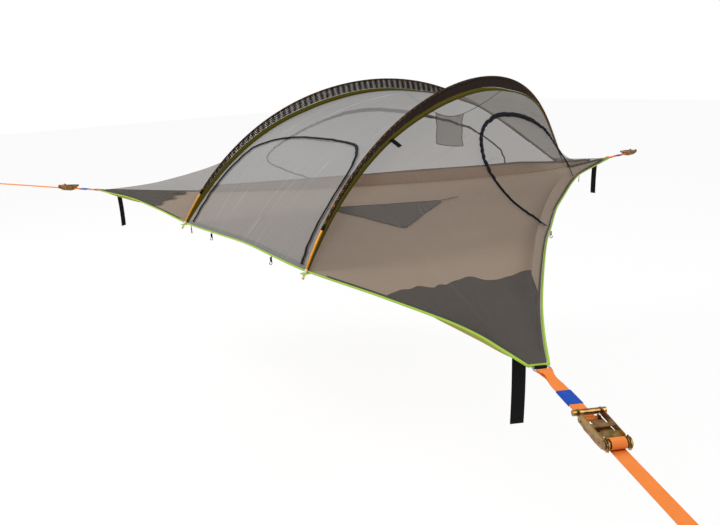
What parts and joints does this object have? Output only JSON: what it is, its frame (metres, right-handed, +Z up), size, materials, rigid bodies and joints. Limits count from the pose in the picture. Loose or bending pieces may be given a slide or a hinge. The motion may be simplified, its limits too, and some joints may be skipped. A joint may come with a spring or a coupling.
{
  "type": "tree tent",
  "caption": "Three-cornered hammock tent slung between trees by ratchet straps, with an arched mesh canopy on bent poles, a floor hatch and zipped mesh doors",
  "frame": {"origin": "where the three strap lines meet, in the plane of the three floor corners", "axes": "+Z up out of the level floor, +Y towards the tail corner, +X towards the front right"},
  "size_m": [5.945, 4.6575, 1.0196],
  "materials": {
    "mesh_cloth": "fine insect mesh, taut",
    "floor_cloth": "coated woven floor cloth",
    "dark_cloth": "thin coated cloth",
    "olive_cloth": "folded binding",
    "lace_cloth": "open-work sleeve cloth",
    "lime_tape": "edge piping",
    "black_webbing": "woven webbing",
    "orange_webbing": "woven polyester webbing",
    "gold_pole": "gold anodised tube",
    "yellow_zinc": "yellow zinc plated steel",
    "steel": "bare steel wire",
    "black_plastic": "moulded"
  },
  "bodies": {
    "tent": {"roof_mesh": "mesh_cloth", "side_mesh_right": "mesh_cloth", "side_mesh_left": "mesh_cloth", "tail_mesh": "mesh_cloth", "floor_panel": "floor_cloth", "corner_cover_a": "dark_cloth", "corner_cover_b": "dark_cloth", "corner_cover_c": "dark_cloth", "edge_piping": "lime_tape", "pole_right": "gold_pole", "pole_left": "gold_pole", "sleeve_right": "lace_cloth", "sleeve_left": "lace_cloth", "seam_binding_right": "olive_cloth", "seam_binding_left": "olive_cloth", "pole_foot_tab_right": "black_webbing", "pole_foot_tab_left": "black_webbing", "tail_pole_socket": "black_plastic", "gear_pocket": "dark_cloth", "door_zip_front": "black_webbing", "door_zip_right": "black_webbing", "door_zip_left": "black_webbing", "corner_webbing_a": "black_webbing", "corner_ring_a": "steel", "anchor_strap_a": "orange_webbing", "corner_webbing_b": "black_webbing", "corner_ring_b": "steel", "anchor_strap_b": "orange_webbing", "corner_webbing_c": "black_webbing", "corner_ring_c": "steel", "anchor_strap_c": "orange_webbing", "ratchet_frame_a": "yellow_zinc", "ratchet_frame_b": "yellow_zinc", "ratchet_frame_c": "yellow_zinc", "long_strap_a": "orange_webbing", "long_strap_c": "orange_webbing"},
    "hatch": {"hatch_flap": "dark_cloth", "hatch_toggle": "black_plastic"},
    "hanging_strap_a": {"hanging_strap_a": "black_webbing"},
    "hanging_strap_b": {"hanging_strap_b": "black_webbing"},
    "hanging_strap_c": {"hanging_strap_c": "black_webbing"},
    "zip_pull_front": {"zip_pull_front": "black_webbing"},
    "zip_pull_right": {"zip_pull_right": "black_webbing"},
    "zip_pull_left": {"zip_pull_left": "black_webbing"},
    "fly_hook_front_left": {"fly_hook_front_left": "black_plastic"},
    "fly_hook_front_right": {"fly_hook_front_right": "black_plastic"},
    "fly_hook_side_right": {"fly_hook_side_right": "black_plastic"},
    "fly_hook_side_left": {"fly_hook_side_left": "black_plastic"},
    "ratchet_handle_a": {"ratchet_handle_a": "yellow_zinc"},
    "ratchet_drum_a": {"ratchet_drum_a": "yellow_zinc"},
    "ratchet_drive_pawl_a": {"ratchet_drive_pawl_a": "yellow_zinc"},
    "ratchet_lock_pawl_a": {"ratchet_lock_pawl_a": "yellow_zinc"},
    "ratchet_handle_b": {"ratchet_handle_b": "yellow_zinc"},
    "ratchet_drum_b": {"ratchet_drum_b": "yellow_zinc"},
    "ratchet_drive_pawl_b": {"ratchet_drive_pawl_b": "yellow_zinc"},
    "ratchet_lock_pawl_b": {"ratchet_lock_pawl_b": "yellow_zinc"},
    "ratchet_handle_c": {"ratchet_handle_c": "yellow_zinc"},
    "ratchet_drum_c": {"ratchet_drum_c": "yellow_zinc"},
    "ratchet_drive_pawl_c": {"ratchet_drive_pawl_c": "yellow_zinc"},
    "ratchet_lock_pawl_c": {"ratchet_lock_pawl_c": "yellow_zinc"}
  },
  "joints": [
    {"name": "hatch_lift", "type": "hinge", "parent": "tent", "child": "hatch", "pos_m": [-0.19919, 0.115, -0.0642], "axis": [-0.5, -0.866, 0], "range_deg": [0, 50]},
    {"name": "hanging_strap_a_swing", "type": "hinge", "parent": "tent", "child": "hanging_strap_a", "pos_m": [-1.92476, -1.11126, -0.01981], "axis": [0.5, -0.866, 0], "range_deg": [-35, 35]},
    {"name": "hanging_strap_b_swing", "type": "hinge", "parent": "tent", "child": "hanging_strap_b", "pos_m": [0, 2.22252, -0.01981], "axis": [-1, 0, 0], "range_deg": [-35, 35]},
    {"name": "hanging_strap_c_swing", "type": "hinge", "parent": "tent", "child": "hanging_strap_c", "pos_m": [1.92476, -1.11126, -0.01981], "axis": [0.5, 0.866, 0], "range_deg": [-35, 35]},
    {"name": "zip_pull_front_swing", "type": "hinge", "parent": "tent", "child": "zip_pull_front", "pos_m": [-0.63147, -1.08122, -0.06572], "axis": [0.9994, 0.0348, 0], "range_deg": [-45, 45]},
    {"name": "zip_pull_right_swing", "type": "hinge", "parent": "tent", "child": "zip_pull_right", "pos_m": [0.17611, 1.74816, -0.04829], "axis": [-0.3772, 0.9261, 0], "range_deg": [-45, 45]},
    {"name": "zip_pull_left_swing", "type": "hinge", "parent": "tent", "child": "zip_pull_left", "pos_m": [-0.17611, 1.74816, -0.04829], "axis": [-0.3772, -0.9261, 0], "range_deg": [-45, 45]},
    {"name": "fly_hook_front_left_swing", "type": "hinge", "parent": "tent", "child": "fly_hook_front_left", "pos_m": [-0.36666, -1.06506, -0.06826], "axis": [0.9965, 0.0831, 0], "range_deg": [-45, 45]},
    {"name": "fly_hook_front_right_swing", "type": "hinge", "parent": "tent", "child": "fly_hook_front_right", "pos_m": [0.32592, -1.06178, -0.06854], "axis": [0.9972, -0.0749, 0], "range_deg": [-45, 45]},
    {"name": "fly_hook_side_right_swing", "type": "hinge", "parent": "tent", "child": "fly_hook_side_right", "pos_m": [0.995, 0.29221, -0.06978], "axis": [-0.5356, 0.8445, 0], "range_deg": [-45, 45]},
    {"name": "fly_hook_side_left_swing", "type": "hinge", "parent": "tent", "child": "fly_hook_side_left", "pos_m": [-0.995, 0.29221, -0.06978], "axis": [-0.5356, -0.8445, 0], "range_deg": [-45, 45]},
    {"name": "handle_a_turn", "type": "hinge", "parent": "tent", "child": "ratchet_handle_a", "pos_m": [-2.42212, -1.39841, 0.0195], "axis": [0.5, -0.866, 0], "range_deg": [0, 160]},
    {"name": "drum_a_turn", "type": "hinge", "parent": "tent", "child": "ratchet_drum_a", "pos_m": [-2.42212, -1.39841, 0.0195], "axis": [0.5, -0.866, 0], "continuous": true},
    {"name": "drive_pawl_a_pull", "type": "slide", "parent": "ratchet_handle_a", "child": "ratchet_drive_pawl_a", "axis": [0.8656, 0.4998, 0.0314], "range_m": [0, 0.005], "stiffness_N_per_m": 200},
    {"name": "lock_pawl_a_pull", "type": "slide", "parent": "tent", "child": "ratchet_lock_pawl_a", "axis": [0.777, 0.4486, -0.4415], "range_m": [0, 0.005], "stiffness_N_per_m": 200},
    {"name": "handle_b_turn", "type": "hinge", "parent": "tent", "child": "ratchet_handle_b", "pos_m": [0, 2.79682, 0.0195], "axis": [-1, 0, 0], "range_deg": [0, 160]},
    {"name": "drum_b_turn", "type": "hinge", "parent": "tent", "child": "ratchet_drum_b", "pos_m": [0, 2.79682, 0.0195], "axis": [-1, 0, 0], "continuous": true},
    {"name": "drive_pawl_b_pull", "type": "slide", "parent": "ratchet_handle_b", "child": "ratchet_drive_pawl_b", "axis": [0, -0.9995, 0.0314], "range_m": [0, 0.005], "stiffness_N_per_m": 200},
    {"name": "lock_pawl_b_pull", "type": "slide", "parent": "tent", "child": "ratchet_lock_pawl_b", "axis": [0, -0.8973, -0.4415], "range_m": [0, 0.005], "stiffness_N_per_m": 200},
    {"name": "handle_c_turn", "type": "hinge", "parent": "tent", "child": "ratchet_handle_c", "pos_m": [2.42212, -1.39841, 0.0195], "axis": [0.5, 0.866, 0], "range_deg": [0, 160]},
    {"name": "drum_c_turn", "type": "hinge", "parent": "tent", "child": "ratchet_drum_c", "pos_m": [2.42212, -1.39841, 0.0195], "axis": [0.5, 0.866, 0], "continuous": true},
    {"name": "drive_pawl_c_pull", "type": "slide", "parent": "ratchet_handle_c", "child": "ratchet_drive_pawl_c", "axis": [-0.8656, 0.4998, 0.0314], "range_m": [0, 0.005], "stiffness_N_per_m": 200},
    {"name": "lock_pawl_c_pull", "type": "slide", "parent": "tent", "child": "ratchet_lock_pawl_c", "axis": [-0.777, 0.4486, -0.4415], "range_m": [0, 0.005], "stiffness_N_per_m": 200}
  ]
}
